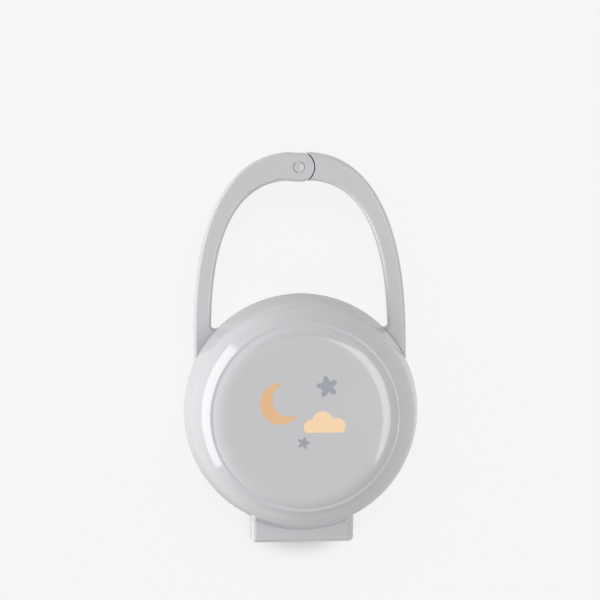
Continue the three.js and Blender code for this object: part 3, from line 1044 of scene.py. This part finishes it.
def painted_mirror_shade(tree, place_on):
    """Painted shade: the part of its glow that the sheet loses in mirrorings, below zero."""
    parts = add_node(tree, "ShaderNodeSeparateXYZ", {"Vector": place_on})
    aside = maths(tree, "ABSOLUTE", parts.outputs["X"])
    low, high = PAINTED_MIRROR_NEAR - 1, PAINTED_MIRROR_FAR - 1
    beside = mapped(tree, aside, mirror_near * MM, mirror_far * MM, low, high)
    past_top = mapped(tree, parts.outputs["Y"], mirror_top * MM, mirror_clear * MM, low, high)
    return maths(tree, "MAXIMUM", beside, past_top)


def pale_sheet():
    """Matte paper with a glow of its own, which differs for the camera and for mirrorings."""
    material, tree = new_material("pale_studio_sheet")
    path = add_node(tree, "ShaderNodeLightPath").outputs
    place_on = on_object(tree)
    mirror_shade = painted_mirror_shade(tree, place_on)
    # Painted shade: for mirrorings the sheet's glow is dimmed near the case.
    strength = maths(tree, "MULTIPLY_ADD", path["Is Glossy Ray"], mirror_shade, 1)
    seen = maths(tree, "MULTIPLY", path["Is Camera Ray"], seen_share(tree, place_on))
    share = maths(tree, "MULTIPLY_ADD", path["Is Glossy Ray"], MIRRORED_GLOW, seen)
    matte = add_node(tree, "ShaderNodeBsdfDiffuse", {"Color": background})
    glow = add_node(tree, "ShaderNodeEmission", {"Color": background, "Strength": strength})
    mixed = add_node(
        tree, "ShaderNodeMixShader",
        {"Fac": share, 1: matte.outputs["BSDF"], 2: glow.outputs["Emission"]},
    )
    add_node(tree, "ShaderNodeOutputMaterial", {"Surface": mixed.outputs["Shader"]})
    return material


def floor():
    """A level square at the case's back face."""
    bm = bmesh.new()
    bmesh.ops.create_grid(bm, x_segments=1, y_segments=1, size=FLOOR_HALF * MM)
    mesh = bpy.data.meshes.new("floor")
    bm.to_mesh(mesh)
    bm.free()
    mesh.materials.append(pale_sheet())
    sheet = bpy.data.objects.new("floor", mesh)
    bpy.context.scene.collection.objects.link(sheet)
    return sheet


sheet = floor()
print("floor", 2 * FLOOR_HALF * MM, "m wide")

# %% [markdown]
# Light. The photograph's highlights show a wide softbox low on the left and a strip high on the
# right, in an even light all round. Each lamp is a patch of a big dome round the case, so its
# place is given by the directions in which the plastic mirrors it. The floor is left out of both
# and has a wash of its own, so that the sheet can be set without a change to the plastic.

# %% Light panels
DOME_RADIUS = 2500
PANEL_STEPS = 24
all_but_floor = bpy.data.collections.new("not_the_floor")
all_but_floor.objects.link(sheet)
all_but_floor.collection_objects[0].light_linking.link_state = "EXCLUDE"
only_the_floor = bpy.data.collections.new("the_floor")
only_the_floor.objects.link(sheet)


def light_panel(name, azimuths, elevations, strength, lights):
    """A patch of the dome: azimuth 0 is towards +X and 90 towards +Y, in degrees."""
    bm = bmesh.new()
    profile = arc(0, 0, DOME_RADIUS * MM, *elevations, ROUND_STEPS)
    points = [bm.verts.new((u, 0, v)) for u, v in profile]
    edges = [bm.edges.new(pair) for pair in zip(points, points[1:])]
    first, last = (math.radians(azimuth) for azimuth in azimuths)
    bmesh.ops.rotate(bm, verts=points, matrix=Matrix.Rotation(first, 3, "Z"))
    bmesh.ops.spin(
        bm, geom=points + edges, axis=(0, 0, 1), angle=last - first, steps=PANEL_STEPS
    )
    mesh = bpy.data.meshes.new(name)
    bm.to_mesh(mesh)
    bm.free()
    material, tree = new_material(name)
    glow = add_node(tree, "ShaderNodeEmission", {"Strength": strength})
    add_node(tree, "ShaderNodeOutputMaterial", {"Surface": glow.outputs["Emission"]})
    mesh.materials.append(material)
    panel = bpy.data.objects.new(name, mesh)
    bpy.context.scene.collection.objects.link(panel)
    panel.visible_camera = False
    panel.visible_shadow = False
    panel.light_linking.receiver_collection = lights


# Each has a name, azimuths, elevations, a strength and what it lights.
PANELS = (
    ("left_softbox", (136.5, 216), (0.5, 23), 5.7, all_but_floor),
    ("right_strip", (-40, 40), (57, 82), 5.2, all_but_floor),
    ("floor_wash", (50, 130), (56, 84), 7.5, only_the_floor),
)
for panel in PANELS:
    light_panel(*panel)
print("light panels:", [panel[0] for panel in PANELS])

# %% [markdown]
# World. The air between the lamps is a bright studio, a little brighter overhead and towards the
# handle, and darker low down beyond both ends of the case. That keeps the shoulders dim at the
# disc's top and bottom, where the photograph has no highlight.

# %% The air round the lamps
AIR_BASE = 0.53
AIR_LEAN = (0.03, 0.16, 0.3)
AIR_ENDS = -0.44

world = bpy.data.worlds.new("studio")
bpy.context.scene.world = world
world.use_nodes = True
studio = world.node_tree
studio.nodes.clear()
heading = add_node(studio, "ShaderNodeTexCoord").outputs["Generated"]
leaning = add_node(
    studio, "ShaderNodeVectorMath", {0: heading, 1: AIR_LEAN}, operation="DOT_PRODUCT"
)
along_y = add_node(studio, "ShaderNodeSeparateXYZ", {"Vector": heading}).outputs["Y"]
squared = maths(studio, "MULTIPLY", along_y, along_y)
ends = maths(studio, "MULTIPLY_ADD", squared, AIR_ENDS, AIR_BASE)
level = maths(studio, "ADD", leaning.outputs["Value"], ends)
air = add_node(
    studio, "ShaderNodeBackground", {"Color": linear("#ffffff"), "Strength": level}
)
add_node(studio, "ShaderNodeOutputWorld", {"Surface": air.outputs["Background"]})
print("air:", AIR_BASE, "and", AIR_LEAN, "along x, y and z")

# %% [markdown]
# Camera. A long lens looks down on the case from a little to the left of and above its middle,
# as the ring's place inside the outline shows, and is rolled by under half a degree.

# %% The camera
AIM = Vector((0, 33.98, 23))
LEAN_X, LEAN_Y, ROLL = -3.353, 2.834, -0.443
DISTANCE = 706.8
LENS = 138
SENSOR = 36
CLIP_NEAR, CLIP_FAR = 10, 50000


def camera():
    """A camera that looks at AIM from a leaning line, both in millimetres."""
    data = bpy.data.cameras.new("camera")
    data.lens = LENS
    data.sensor_width = SENSOR
    data.clip_start, data.clip_end = CLIP_NEAR * MM, CLIP_FAR * MM
    made = bpy.data.objects.new("camera", data)
    bpy.context.scene.collection.objects.link(made)
    lean_x, lean_y = math.tan(math.radians(LEAN_X)), math.tan(math.radians(LEAN_Y))
    back = Vector((lean_x, lean_y, 1)).normalized()
    right = Vector((0, 1, 0)).cross(back).normalized()
    up = back.cross(right)
    turn = Matrix((right, up, back)).transposed().to_4x4()
    roll = Matrix.Rotation(math.radians(ROLL), 4, "Z")
    made.matrix_world = Matrix.Translation((AIM + back * DISTANCE) * MM) @ turn @ roll
    bpy.context.scene.camera = made


camera()
bpy.context.scene.view_settings.view_transform = "Standard"
print("camera", DISTANCE, "mm away, lens", LENS, "mm")
